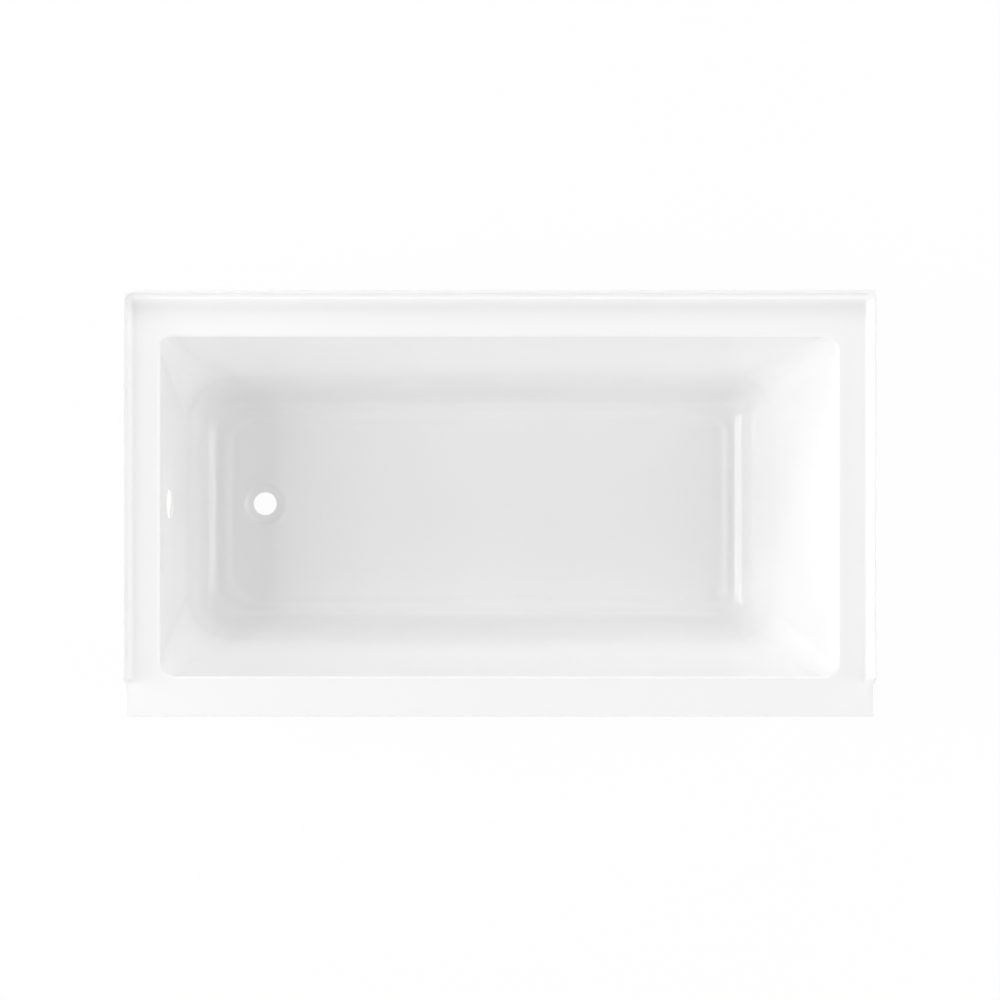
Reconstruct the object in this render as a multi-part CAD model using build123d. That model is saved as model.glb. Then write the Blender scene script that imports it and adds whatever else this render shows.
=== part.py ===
from build123d import *
import math
import os

# An acrylic alcove bathtub with a left-hand drain, on six levelling feet, with an apron on its front.
# Millimetres and degrees. X runs along the tub from the drain end to the backrest end, the apron
# faces -Y, and Z is up from the floor that the feet stand on. The origin is under the tub's middle.

# Outside
tub_length = 1524.0
tub_width = 864.0
deck_height = 521.0

# Laminate
sheet = 4.0
backing = 3.0

# Deck widths, from the outside to the basin's mouth
drain_end_deck = 72.0
backrest_end_deck = 75.0
back_deck = 91.0
front_deck = 81.0

# Tile flange on the back and both ends
flange_height = 25.0
flange_top = 5.0
flange_draft = 10.0
flange_root_radius = 18.0
flange_corner_radius = 22.0
flange_edge_radius = 1.5
flange_from_front = 66.0
flange_ramp = 16.0
sheet_turn_radius = 14.0

# Turned-down lip on the front
lip_height = 35.0
lip_edge_radius = 4.0
lip_corner_radius = 5.0

# Basin, whose floor stands this high at the drain
floor_height = 121.0
mouth_corner_radius = 30.0
mouth_edge_radius = 7.0
drain_end_draft = 3.5
backrest_draft = 19.5
back_draft = 13.5
front_draft = 11.5
low_corner_radius_drain_end = 120.0
low_corner_radius_backrest_end = 80.0
bottom_radius = 55.0
floor_fall = 0.4

# Sunk panel in the basin's floor
panel_step = 5.0
panel_slope_run = 14.0
panel_edge_radius = 28.0
ledge_drain_end = 9.0
ledge_backrest_end = 6.0
ledge_back = 14.0
ledge_front = 6.5
panel_corner_radius_drain_end = 50.0
panel_corner_radius_backrest_end = 15.0

# Drain and overflow
drain_from_end = 243.0
drain_hole_radius = 25.4
dish_mouth_radius = 45.0
dish_floor_radius = 36.0
dish_depth = 4.0
overflow_hole_radius = 32.0
overflow_drop = 100.0

# Board under the floor panel
board_thickness = 16.0
board_inset = 5.0
board_corner_radius = 25.0
waste_notch_radius = 65.0

# Timber under the deck
batten_thickness = 18.0
batten_wall_gap = 6.0
batten_edge_gap = 6.0
backing_edge_gap = 14.0

# Cross rails, pressed from strip in a hat section with the crown down
rail_length = 520.0
rail_crown = 40.0
rail_height = 40.0
rail_lip = 20.0
rail_strip = 2.0
rail_from_end = 362.0
rail_screw_from_end = 185.0

# Levelling feet
foot_from_rail_end = 35.0
stud_radius = 6.0
thread_clearance = 0.08
hex_across_flats = 19.0
weld_nut_height = 10.0
lock_nut_height = 8.0
foot_retract = 8.0
stud_end_margin = 3.0
stud_hole_clearance = 1.0
collar_height = 6.0
pad_radius = 30.0
pad_rim_height = 5.0
pad_boss_radius = 17.0
pad_boss_top_radius = 14.0
pad_height = 16.0
pad_floor = 4.0
pad_edge_radius = 1.5

# Apron
apron_floor_gap = 5.0
apron_tongue = 20.0
apron_return = 25.0
apron_edge_radius = 5.0
apron_batten_height = 46.0
apron_foot_batten_height = 62.0
apron_batten_thickness = 18.0
apron_batten_end_gap = 36.0
apron_post_width = 60.0
apron_post_from_end = 282.0

# Steel that holds the apron
bracket_strip = 2.0
bracket_width = 40.0
bracket_leg = 34.0
bracket_from_end = 202.0
bracket_screws_apart = 20.0
bracket_screw_inset = 20.0
stay_strip = 3.0
stay_width = 25.0
stay_lap = 18.0
stay_leg = 34.0
stay_screw_inset = 20.0

# Screws
screw_radius = 2.1
screw_head_radius = 4.2
screw_head_height = 2.4
screw_length = 14.0
stay_screw_length = 9.0

# Clearances
seat_gap = 0.3
screw_clearance = 0.1
past = 1.0
same_place = 0.01

half_length = tub_length / 2
half_width = tub_width / 2
basin_depth = deck_height - floor_height
mouth_drain_end = -half_length + drain_end_deck
mouth_backrest_end = half_length - backrest_end_deck
mouth_back = half_width - back_deck
mouth_front = -half_width + front_deck
drain_x = -half_length + drain_from_end
drain_y = 0.0
fall_slope = math.tan(math.radians(floor_fall))
floor_normal = Vector(-math.sin(math.radians(floor_fall)), 0, math.cos(math.radians(floor_fall)))
flange_front = -half_width + flange_from_front
outer_rail = half_length - rail_from_end
rail_places = {"drain_end": -outer_rail, "middle": 0.0, "backrest_end": outer_rail}


def block(x0, x1, y0, y1, z0, z1):
    """A box between two opposite corners."""
    middle = Pos((x0 + x1) / 2, (y0 + y1) / 2, (z0 + z1) / 2)
    return middle * Box(x1 - x0, y1 - y0, z1 - z0)


def rounded_outline(x0, x1, y0, y1, low_x_radius, high_x_radius):
    """A rectangle whose two corners at low x and two at high x have their own radii."""
    outline = Pos((x0 + x1) / 2, (y0 + y1) / 2) * Rectangle(x1 - x0, y1 - y0)
    outline = fillet(outline.vertices().sort_by(Axis.X)[:2], low_x_radius)
    return fillet(outline.vertices().sort_by(Axis.X)[-2:], high_x_radius)


def post(radius, height):
    """A cylinder that stands on z = 0."""
    return Cylinder(radius, height, align=(Align.CENTER, Align.CENTER, Align.MIN))


def drop(radius, height):
    """A cylinder that hangs from z = 0."""
    return Cylinder(radius, height, align=(Align.CENTER, Align.CENTER, Align.MAX))


def ruled_between(lower, upper):
    return loft([lower.face(), upper.face()], ruled=True)


def wall_run(depth, draft):
    return depth * math.tan(math.radians(draft))


def corner_radius_at(depth, low_radius):
    return mouth_corner_radius + (low_radius - mouth_corner_radius) * depth / basin_depth


def basin_outline(depth, grow):
    """The basin's inside at a depth under the deck, moved square to its walls by grow."""
    def out(draft):
        return wall_run(depth, draft) - grow / math.cos(math.radians(draft))

    outline = rounded_outline(
        mouth_drain_end + out(drain_end_draft),
        mouth_backrest_end - out(backrest_draft),
        mouth_front + out(front_draft),
        mouth_back - out(back_draft),
        corner_radius_at(depth, low_corner_radius_drain_end) + grow,
        corner_radius_at(depth, low_corner_radius_backrest_end) + grow,
    )
    return Pos(0, 0, deck_height - depth) * outline


def floor_plane(drop):
    """The plane of the basin's floor, which falls to the drain, lowered by drop."""
    at_drain = Vector(drain_x, drain_y, deck_height - basin_depth)
    return Plane(origin=at_drain - floor_normal * drop, z_dir=floor_normal)


def on_floor(shape):
    """Put a shape drawn round the drain into the sloping floor's place."""
    return floor_plane(0).location * shape


def basin_form(grow, from_depth):
    """The basin as a solid from a depth under the deck, with its walls and floor moved outwards by grow."""
    above = basin_outline(from_depth, grow)
    below = basin_outline(basin_depth + lip_height, grow)
    form = split(ruled_between(below, above), bisect_by=floor_plane(grow), keep=Keep.TOP)
    floor_face = form.faces().sort_by(Axis.Z)[0]
    return fillet(floor_face.edges(), bottom_radius + grow)


def fillet_reach(draft):
    """How far the bottom radius reaches in from where a wall would meet the floor."""
    lean = math.radians(draft)
    return bottom_radius * (1 - math.sin(lean)) / math.cos(lean)


def flat_floor_edge(mouth, inward, draft, depth):
    return mouth + inward * (wall_run(depth, draft) + fillet_reach(draft))


def panel_edges():
    """Low x, high x, low y and high y of the sunk panel's flat floor, measured from the drain."""
    shallow = basin_depth - fall_slope * (mouth_backrest_end - drain_x)
    low_x = flat_floor_edge(mouth_drain_end, 1, drain_end_draft, basin_depth) + ledge_drain_end
    high_x = flat_floor_edge(mouth_backrest_end, -1, backrest_draft, shallow) - ledge_backrest_end
    low_y = flat_floor_edge(mouth_front, 1, front_draft, basin_depth) + ledge_front
    high_y = flat_floor_edge(mouth_back, -1, back_draft, basin_depth) - ledge_back
    slope = panel_slope_run
    return (
        low_x + slope - drain_x,
        high_x - slope - drain_x,
        low_y + slope - drain_y,
        high_y - slope - drain_y,
    )


def panel_outline(spread):
    low_x, high_x, low_y, high_y = panel_edges()
    return rounded_outline(
        low_x - spread,
        high_x + spread,
        low_y - spread,
        high_y + spread,
        panel_corner_radius_drain_end + spread,
        panel_corner_radius_backrest_end + spread,
    )


def mitre(rise, run, grow):
    """Sideways shift of the corner between a level face and a slope when both move by grow."""
    return grow * math.tan(math.atan2(rise, run) / 2)


def panel_mouth(grow):
    """The sunk panel's outline where its slope starts from the ledge."""
    return Pos(0, 0, -grow) * panel_outline(panel_slope_run + mitre(panel_step, panel_slope_run, grow))


def panel_form(grow):
    """The sunk panel: a shallow tray under the floor's plane, moved outwards by grow."""
    shift = mitre(panel_step, panel_slope_run, grow)
    tray_top = panel_mouth(grow)
    tray_floor = Pos(0, 0, -grow - panel_step) * panel_outline(shift)
    tray = ruled_between(tray_floor, tray_top)
    tray = fillet(tray.faces().sort_by(Axis.Z)[0].edges(), panel_edge_radius + grow)
    opening = extrude(tray_top, amount=past)
    return on_floor(tray + opening)


def dish_form(grow):
    """The round dish that the waste's flange sits in, moved outwards by grow."""
    shift = mitre(dish_depth, dish_mouth_radius - dish_floor_radius, grow)
    mouth = post(dish_mouth_radius + shift, past)
    slope = Cone(
        dish_floor_radius + shift,
        dish_mouth_radius + shift,
        dish_depth,
        align=(Align.CENTER, Align.CENTER, Align.MAX),
    )
    return on_floor(Pos(0, 0, -panel_step - grow) * (mouth + slope))


def drain_bore():
    reach = sheet + backing + dish_depth + panel_step
    return on_floor(drop(drain_hole_radius, 2 * reach))


def overflow_bore():
    """A hole square to the drain-end wall."""
    lean = math.radians(drain_end_draft)
    wall_x = mouth_drain_end + wall_run(overflow_drop, drain_end_draft)
    centre = (wall_x, drain_y, deck_height - overflow_drop)
    into_basin = Plane(origin=centre, z_dir=(math.cos(lean), 0, math.sin(lean)))
    return into_basin.location * Cylinder(overflow_hole_radius, 4 * (sheet + backing))


def inside_form(grow, from_depth):
    """All the space inside the basin, panel and dish, with every face moved outwards by grow."""
    form = basin_form(grow, from_depth) + panel_form(grow)
    shoulder_line = on_floor(panel_mouth(grow)).face().outer_wire()
    shoulder = [e for e in form.edges() if near(shoulder_line.distance_to(e.center()), 0)]
    form = fillet(shoulder, panel_edge_radius - grow)
    return form + dish_form(grow)


def flange_bar(length):
    """A straight length of tile flange along X, with its outer face on y = 0 and its foot on z = 0."""
    foot = flange_top + flange_height * math.tan(math.radians(flange_draft))
    section = Polygon(
        (0, -sheet / 2),
        (0, flange_height),
        (-flange_top, flange_height),
        (-foot, 0),
        (-foot, -sheet / 2),
        align=None,
    )
    across = Plane(origin=(0, 0, 0), x_dir=(0, 1, 0), z_dir=(1, 0, 0))
    return extrude(across * section, amount=length)


def tile_flange():
    """Three lengths of flange, mitred at the two back corners."""
    back = Pos(-half_length, half_width, deck_height) * flange_bar(tub_length)
    side_length = half_width - flange_front
    drain_side = Pos(-half_length, flange_front, deck_height) * (Rot(0, 0, 90) * flange_bar(side_length))
    backrest_side = Pos(half_length, half_width, deck_height) * (Rot(0, 0, -90) * flange_bar(side_length))
    return back + drain_side + backrest_side


def near(value, target):
    return abs(value - target) < same_place


def round_flange_root(shell):
    """Round the upright corners inside the flange, then the crease where it rises from the deck."""
    foot = flange_top + flange_height * math.tan(math.radians(flange_draft))
    corner_edges = [
        e
        for e in shell.edges()
        if e.bounding_box().size.Z > flange_height - sheet
        and near(e.bounding_box().min.Z, deck_height)
        and near(e.bounding_box().max.Y, half_width - flange_top)
    ]
    shell = fillet(corner_edges, flange_corner_radius)
    crease = [
        e
        for e in shell.edges()
        if near(e.bounding_box().min.Z, deck_height)
        and near(e.bounding_box().max.Z, deck_height)
        and e.center().Y > flange_front
        and (
            near(e.center().Y, half_width - foot)
            or near(abs(e.center().X), half_length - foot)
            or e.geom_type != GeomType.LINE
        )
    ]
    return fillet(crease, flange_root_radius)


def flange_end_cuts():
    """Wedges that ramp the flange's front ends down to the deck."""
    ramp = Polygon(
        (flange_front, 0),
        (flange_front + flange_ramp, flange_height),
        (flange_front + flange_ramp, flange_height + past),
        (flange_front - past, flange_height + past),
        (flange_front - past, 0),
        align=None,
    )
    across = Plane(origin=(-half_length - past, 0, deck_height), x_dir=(0, 1, 0), z_dir=(1, 0, 0))
    return extrude(across * ramp, amount=tub_length + 2 * past)


def front_lip():
    """The sheet turned down along the front and round its two corners, as far as the flange."""
    top = deck_height - sheet / 2
    low = deck_height - lip_height
    front = block(-half_length, half_length, -half_width, -half_width + sheet, low, top)
    drain_side = block(-half_length, -half_length + sheet, -half_width, flange_front, low, top)
    backrest_side = block(half_length - sheet, half_length, -half_width, flange_front, low, top)
    return front + drain_side + backrest_side


def flanged_deck():
    """The deck from the flange's front ends back, with the flange turned up out of it."""
    low = deck_height - sheet
    deck = block(-half_length, half_length, flange_front, half_width, low, deck_height)
    deck = round_flange_root(deck + tile_flange()) - flange_end_cuts()
    turned = [
        e
        for e in deck.edges()
        if near(e.center().Z, low)
        and (near(e.center().Y, half_width) or near(abs(e.center().X), half_length))
    ]
    return fillet(turned, sheet_turn_radius)


def lipped_deck():
    """The deck in front of the flange, with its front and ends turned down."""
    low = deck_height - sheet
    deck = block(-half_length, half_length, -half_width, flange_front, low, deck_height) + front_lip()
    corners = [
        e
        for e in deck.edges().filter_by(Axis.Z)
        if near(e.center().Y, -half_width) and near(e.length, lip_height)
    ]
    deck = fillet(corners, lip_corner_radius)
    top = [
        e
        for e in deck.edges()
        if near(e.bounding_box().min.Z, deck_height) and not near(e.bounding_box().min.Y, flange_front)
    ]
    return fillet(top, lip_edge_radius)


def tub_shell():
    """The acrylic sheet: deck, flange, lip and basin in one."""
    shell = flanged_deck() + lipped_deck()
    shell = shell + inside_form(sheet, sheet / 2)
    shell = shell - inside_form(0, -past)
    mouth = [
        e
        for e in shell.edges()
        if near(e.bounding_box().min.Z, deck_height)
        and near(e.bounding_box().max.Z, deck_height)
        and mouth_drain_end - past < e.center().X < mouth_backrest_end + past
        and mouth_front - past < e.center().Y < mouth_back + past
    ]
    shell = fillet(mouth, mouth_edge_radius)
    flange_tops = [e for e in shell.edges() if near(e.bounding_box().min.Z, deck_height + flange_height)]
    shell = fillet(flange_tops, flange_edge_radius)
    return shell - drain_bore() - overflow_bore()


def fibreglass_backing():
    """The resin and glass layer on the back of the sheet, under the deck and round the basin."""
    top = deck_height - sheet
    under_deck = block(
        -half_length + backing_edge_gap,
        half_length - backing_edge_gap,
        -half_width + backing_edge_gap,
        half_width - backing_edge_gap,
        top - backing,
        top,
    )
    layer = under_deck + inside_form(sheet + backing, sheet + backing / 2)
    layer = layer - inside_form(sheet, sheet - past)
    return layer - drain_bore() - overflow_bore()


def board_plane():
    """The plane of the board's top, which lies on the backing under the sunk panel."""
    return floor_plane(panel_step + sheet + backing)


def base_board():
    """The board under the basin's floor, notched for the waste from its drain end."""
    low_x, high_x, low_y, high_y = panel_edges()
    board = extrude(
        rounded_outline(
            low_x + board_inset,
            high_x - board_inset,
            low_y + board_inset,
            high_y - board_inset,
            board_corner_radius,
            board_corner_radius,
        ),
        amount=-board_thickness,
    )
    round_end = Cylinder(waste_notch_radius, 4 * board_thickness)
    slot = block(
        low_x - past, 0, -waste_notch_radius, waste_notch_radius, -2 * board_thickness, 2 * board_thickness
    )
    board = board_plane().location * (board - round_end - slot)
    return board - screw_holes(rail_screw_seats(), screw_length)


def board_underside(x):
    """Height of the board's underside over a place along the tub."""
    at_drain = board_plane().origin - floor_normal * board_thickness
    return at_drain.Z + fall_slope * (x - at_drain.X)


def board_middle_y():
    low_x, high_x, low_y, high_y = panel_edges()
    return drain_y + (low_y + high_y) / 2


def rim_underside():
    return deck_height - sheet - backing - batten_thickness


def rim_battens():
    """Four timbers under the deck, between the basin and the tub's outside."""
    top = deck_height - sheet - backing
    low = rim_underside()
    wall = sheet + backing + batten_wall_gap
    outer_x = half_length - backing_edge_gap - batten_edge_gap
    outer_back = half_width - backing_edge_gap - batten_edge_gap
    inner_front = mouth_front - wall
    inner_back = mouth_back + wall
    drain_wall = mouth_drain_end - wall
    backrest_wall = mouth_backrest_end + wall
    front = block(-outer_x, outer_x, -half_width + backing_edge_gap, inner_front, low, top)
    return {
        "rim_batten_front": front - screw_holes(bracket_seats_up(), screw_length),
        "rim_batten_back": block(-outer_x, outer_x, inner_back, outer_back, low, top),
        "rim_batten_drain_end": block(-outer_x, drain_wall, inner_front, inner_back, low, top),
        "rim_batten_backrest_end": block(backrest_wall, outer_x, inner_front, inner_back, low, top),
    }


def screw(length):
    """A pan-head screw with its head on z = 0 and its shank below."""
    head = post(screw_head_radius, screw_head_height)
    head = fillet(head.edges().sort_by(Axis.Z)[-1], screw_head_height / 2)
    return head + drop(screw_radius, length)


def screws(seats, length):
    return [seat.location * screw(length) for seat in seats]


def screw_holes(seats, length):
    hole = drop(screw_radius + screw_clearance, length + past)
    return [seat.location * hole for seat in seats]


def rail_top(x):
    """Height of a cross rail's lips, where they meet the board's lower side."""
    return board_underside(x - rail_crown / 2 - rail_lip)


def rail_bottom(x):
    return rail_top(x) - rail_height


def along_rail(from_end):
    """The two places across the tub that lie this far in from a rail's ends."""
    reach = rail_length / 2 - from_end
    return board_middle_y() - reach, board_middle_y() + reach


def rail_screw_seats():
    """Where the rails' screws seat under the lips, with their heads down."""
    return [
        Plane(origin=(x + side * (rail_crown + rail_lip) / 2, y, rail_top(x) - rail_strip), z_dir=(0, 0, -1))
        for x in rail_places.values()
        for side in (-1, 1)
        for y in along_rail(rail_screw_from_end)
    ]


def foot_places(x):
    """The front and the back foot under a rail."""
    front, back = along_rail(foot_from_rail_end)
    return {"front": (x, front), "back": (x, back)}


def cross_rail(x):
    """A hat-section rail with its crown down and its lips against the board."""
    front, back = along_rail(0)
    low = rail_bottom(x)
    top = rail_top(x)
    half = rail_crown / 2
    rail = block(x - half, x + half, front, back, low, low + rail_strip)
    for side in (-1, 1):
        wall = sorted((x + side * half, x + side * (half - rail_strip)))
        lip = sorted((x + side * (half - rail_strip), x + side * (half + rail_lip)))
        rail += block(*wall, front, back, low, top)
        rail += block(*lip, front, back, top - rail_strip, top)
    stud_hole = Cylinder(stud_radius + stud_hole_clearance, rail_height)
    rail -= [Pos(px, py, low) * stud_hole for px, py in foot_places(x).values()]
    rail -= screw_holes(stay_seats_up(), stay_screw_length)
    return rail - screw_holes(rail_screw_seats(), screw_length)


def hex_nut(height):
    nut = extrude(RegularPolygon(hex_across_flats / 2, 6, major_radius=False), amount=height)
    return nut - Cylinder(stud_radius + thread_clearance, 3 * height)


def weld_nuts():
    return [
        Pos(px, py, rail_bottom(x) + rail_strip) * hex_nut(weld_nut_height)
        for x in rail_places.values()
        for px, py in foot_places(x).values()
    ]


def lock_nut(x, y):
    return Pos(x, y, rail_bottom(x) - seat_gap - lock_nut_height) * hex_nut(lock_nut_height)


def foot_stud(x, y):
    """A threaded stud with a hexagon to turn it by, standing in its pad."""
    foot = pad_floor + seat_gap
    top = rail_top(x) - foot_retract - stud_end_margin
    stud = post(stud_radius, top - foot)
    stud = chamfer(stud.edges().sort_by(Axis.Z)[-1], stud_radius / 6)
    collar = extrude(RegularPolygon(hex_across_flats / 2, 6, major_radius=False), amount=collar_height)
    return Pos(x, y, foot) * stud + Pos(x, y, pad_height + seat_gap) * collar


def foot_pad(x, y):
    """A moulded pad with a socket for the stud's end."""
    rim = post(pad_radius, pad_rim_height)
    rim = fillet(rim.edges().sort_by(Axis.Z)[-1], pad_edge_radius)
    boss = Cone(
        pad_boss_radius,
        pad_boss_top_radius,
        pad_height - pad_floor,
        align=(Align.CENTER, Align.CENTER, Align.MIN),
    )
    socket = post(stud_radius + thread_clearance, pad_height)
    return Pos(x, y, 0) * (rim + Pos(0, 0, pad_floor) * boss - Pos(0, 0, pad_floor) * socket)


def apron_face():
    return -half_width + sheet + seat_gap


def apron_back():
    return apron_face() + sheet


def apron_half_length():
    return half_length - sheet - seat_gap


def apron_panel():
    """A shallow acrylic tray on edge: face, two end returns and a foot return, open at the top."""
    half = apron_half_length()
    top = deck_height - lip_height + apron_tongue
    tail = apron_face() + apron_return
    tray = block(-half, half, apron_face(), tail, apron_floor_gap, top)
    outer = [e for e in tray.edges() if near(e.center().Y, apron_face()) and not near(e.center().Z, top)]
    tray = fillet(outer, apron_edge_radius)
    inner = half - sheet
    return tray - block(-inner, inner, apron_back(), tail + past, apron_floor_gap + sheet, top + past)


def apron_batten(low, top):
    half = apron_half_length() - apron_batten_end_gap
    return block(-half, half, apron_back(), apron_batten_back(), low, top)


def apron_batten_back():
    return apron_back() + apron_batten_thickness


def apron_frame():
    """Timber bonded to the back of the apron: two battens and three posts."""
    top = rim_underside() - seat_gap
    top_batten_low = top - apron_batten_height
    low = apron_floor_gap + sheet
    post_low = low + apron_foot_batten_height
    frame = {
        "apron_top_batten": apron_batten(top_batten_low, top) - screw_holes(bracket_seats_in(), screw_length),
        "apron_bottom_batten": apron_batten(low, post_low) - screw_holes(stay_seats_in(), screw_length),
    }
    outer_post = half_length - apron_post_from_end
    for name, x in zip(("left", "middle", "right"), (-outer_post, 0.0, outer_post)):
        half = apron_post_width / 2
        frame["apron_post_" + name] = block(
            x - half, x + half, apron_back(), apron_batten_back(), post_low, top_batten_low
        )
    return frame


def bracket_places():
    outer_bracket = half_length - bracket_from_end
    return {"left": -outer_bracket, "middle": 0.0, "right": outer_bracket}


def bracket_screw_offsets():
    return (-bracket_screws_apart / 2, bracket_screws_apart / 2)


def bracket_seats_up():
    """Where the brackets' screws go up into the front rim batten."""
    y = apron_batten_back() + bracket_screw_inset
    z = rim_underside() - bracket_strip
    return [
        Plane(origin=(x + dx, y, z), z_dir=(0, 0, -1))
        for x in bracket_places().values()
        for dx in bracket_screw_offsets()
    ]


def bracket_seats_in():
    """Where the brackets' screws go forward into the apron's top batten."""
    y = apron_batten_back() + bracket_strip
    z = rim_underside() - bracket_screw_inset
    return [
        Plane(origin=(x + dx, y, z), z_dir=(0, 1, 0))
        for x in bracket_places().values()
        for dx in bracket_screw_offsets()
    ]


def apron_bracket(x):
    """A steel angle from the apron's top batten to the front rim batten."""
    half = bracket_width / 2
    back = apron_batten_back()
    top = rim_underside()
    upright = block(x - half, x + half, back, back + bracket_strip, top - bracket_leg, top)
    level = block(x - half, x + half, back, back + bracket_leg, top - bracket_strip, top)
    return upright + level - screw_holes(bracket_seats_up() + bracket_seats_in(), screw_length)


def stay_places():
    return {name: rail_places[name] for name in ("drain_end", "backrest_end")}


def stay_seats_up():
    """Where the stays' screws go up into the crowns of the two outer rails."""
    y = along_rail(stay_lap / 2)[0]
    return [
        Plane(origin=(x, y, rail_bottom(x) - stay_strip), z_dir=(0, 0, -1))
        for x in stay_places().values()
    ]


def stay_seats_in():
    """Where the stays' screws go forward into the apron's bottom batten."""
    y = apron_batten_back() + stay_strip
    return [
        Plane(origin=(x, y, rail_bottom(x) - stay_screw_inset), z_dir=(0, 1, 0))
        for x in stay_places().values()
    ]


def apron_stay(x):
    """A steel bar from a rail's front end to the apron's bottom batten, turned down there."""
    half = stay_width / 2
    back = apron_batten_back()
    top = rail_bottom(x)
    rail_end = along_rail(stay_lap)[0]
    level = block(x - half, x + half, back, rail_end, top - stay_strip, top)
    leg = block(x - half, x + half, back, back + stay_strip, top - stay_leg, top)
    holes = screw_holes(stay_seats_up(), stay_screw_length) + screw_holes(stay_seats_in(), screw_length)
    return level + leg - holes


def build():
    """Every piece of the tub, by name."""
    pieces = {
        "tub_shell": tub_shell(),
        "fibreglass_backing": fibreglass_backing(),
        "base_board": base_board(),
    }
    pieces.update(rim_battens())
    for end, x in rail_places.items():
        pieces["cross_rail_" + end] = cross_rail(x)
        for side, (px, py) in foot_places(x).items():
            pieces[f"foot_pad_{end}_{side}"] = foot_pad(px, py)
            pieces[f"foot_stud_{end}_{side}"] = foot_stud(px, py)
            pieces[f"lock_nut_{end}_{side}"] = lock_nut(px, py)
    pieces["rail_weld_nuts"] = Compound(children=weld_nuts())
    pieces["rail_screws"] = Compound(children=screws(rail_screw_seats(), screw_length))
    pieces["apron_panel"] = apron_panel()
    pieces.update(apron_frame())
    for name, x in bracket_places().items():
        pieces["apron_bracket_" + name] = apron_bracket(x)
    for end, x in stay_places().items():
        pieces["apron_stay_" + end] = apron_stay(x)
    bracket_seats = bracket_seats_up() + bracket_seats_in()
    pieces["bracket_screws"] = Compound(children=screws(bracket_seats, screw_length))
    pieces["stay_screws"] = Compound(
        children=screws(stay_seats_up(), stay_screw_length) + screws(stay_seats_in(), screw_length)
    )
    return pieces


os.makedirs("parts", exist_ok=True)
for node, piece in build().items():
    export_step(piece, f"parts/{node}.step")
print("Pieces written:", len(os.listdir("parts")))
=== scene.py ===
import math

import bmesh
import bpy
from mathutils import Matrix, Vector, noise


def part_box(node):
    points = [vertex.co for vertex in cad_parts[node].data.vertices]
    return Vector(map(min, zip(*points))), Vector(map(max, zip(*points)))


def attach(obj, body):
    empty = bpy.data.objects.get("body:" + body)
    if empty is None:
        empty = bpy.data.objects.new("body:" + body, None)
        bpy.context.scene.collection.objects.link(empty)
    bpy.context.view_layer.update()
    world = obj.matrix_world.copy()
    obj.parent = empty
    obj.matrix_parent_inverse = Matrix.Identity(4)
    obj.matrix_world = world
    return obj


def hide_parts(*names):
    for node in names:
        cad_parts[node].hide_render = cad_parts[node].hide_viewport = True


# An alcove bathtub in white acrylic. Metres, X from the drain end to the backrest end, front at -Y.

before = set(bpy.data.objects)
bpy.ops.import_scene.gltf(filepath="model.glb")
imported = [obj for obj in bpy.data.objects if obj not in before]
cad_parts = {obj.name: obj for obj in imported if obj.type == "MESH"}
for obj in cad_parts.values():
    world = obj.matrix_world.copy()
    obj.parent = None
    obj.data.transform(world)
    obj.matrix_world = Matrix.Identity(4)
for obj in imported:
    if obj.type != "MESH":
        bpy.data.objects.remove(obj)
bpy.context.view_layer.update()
print("Frame loaded with", len(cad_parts), "nodes")


# Shader helpers: a wire is one output of a node, and sums and products of wires add Math nodes

class Wire:
    def __init__(self, finish, socket):
        self.finish = finish
        self.socket = socket

    def work(self, operation, other):
        return self.finish.node("ShaderNodeMath", {"operation": operation}, {0: self, 1: other})

    def __add__(self, other):
        return self.work("ADD", other)

    def __mul__(self, other):
        return self.work("MULTIPLY", other)

    __radd__ = __add__
    __rmul__ = __mul__


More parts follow.
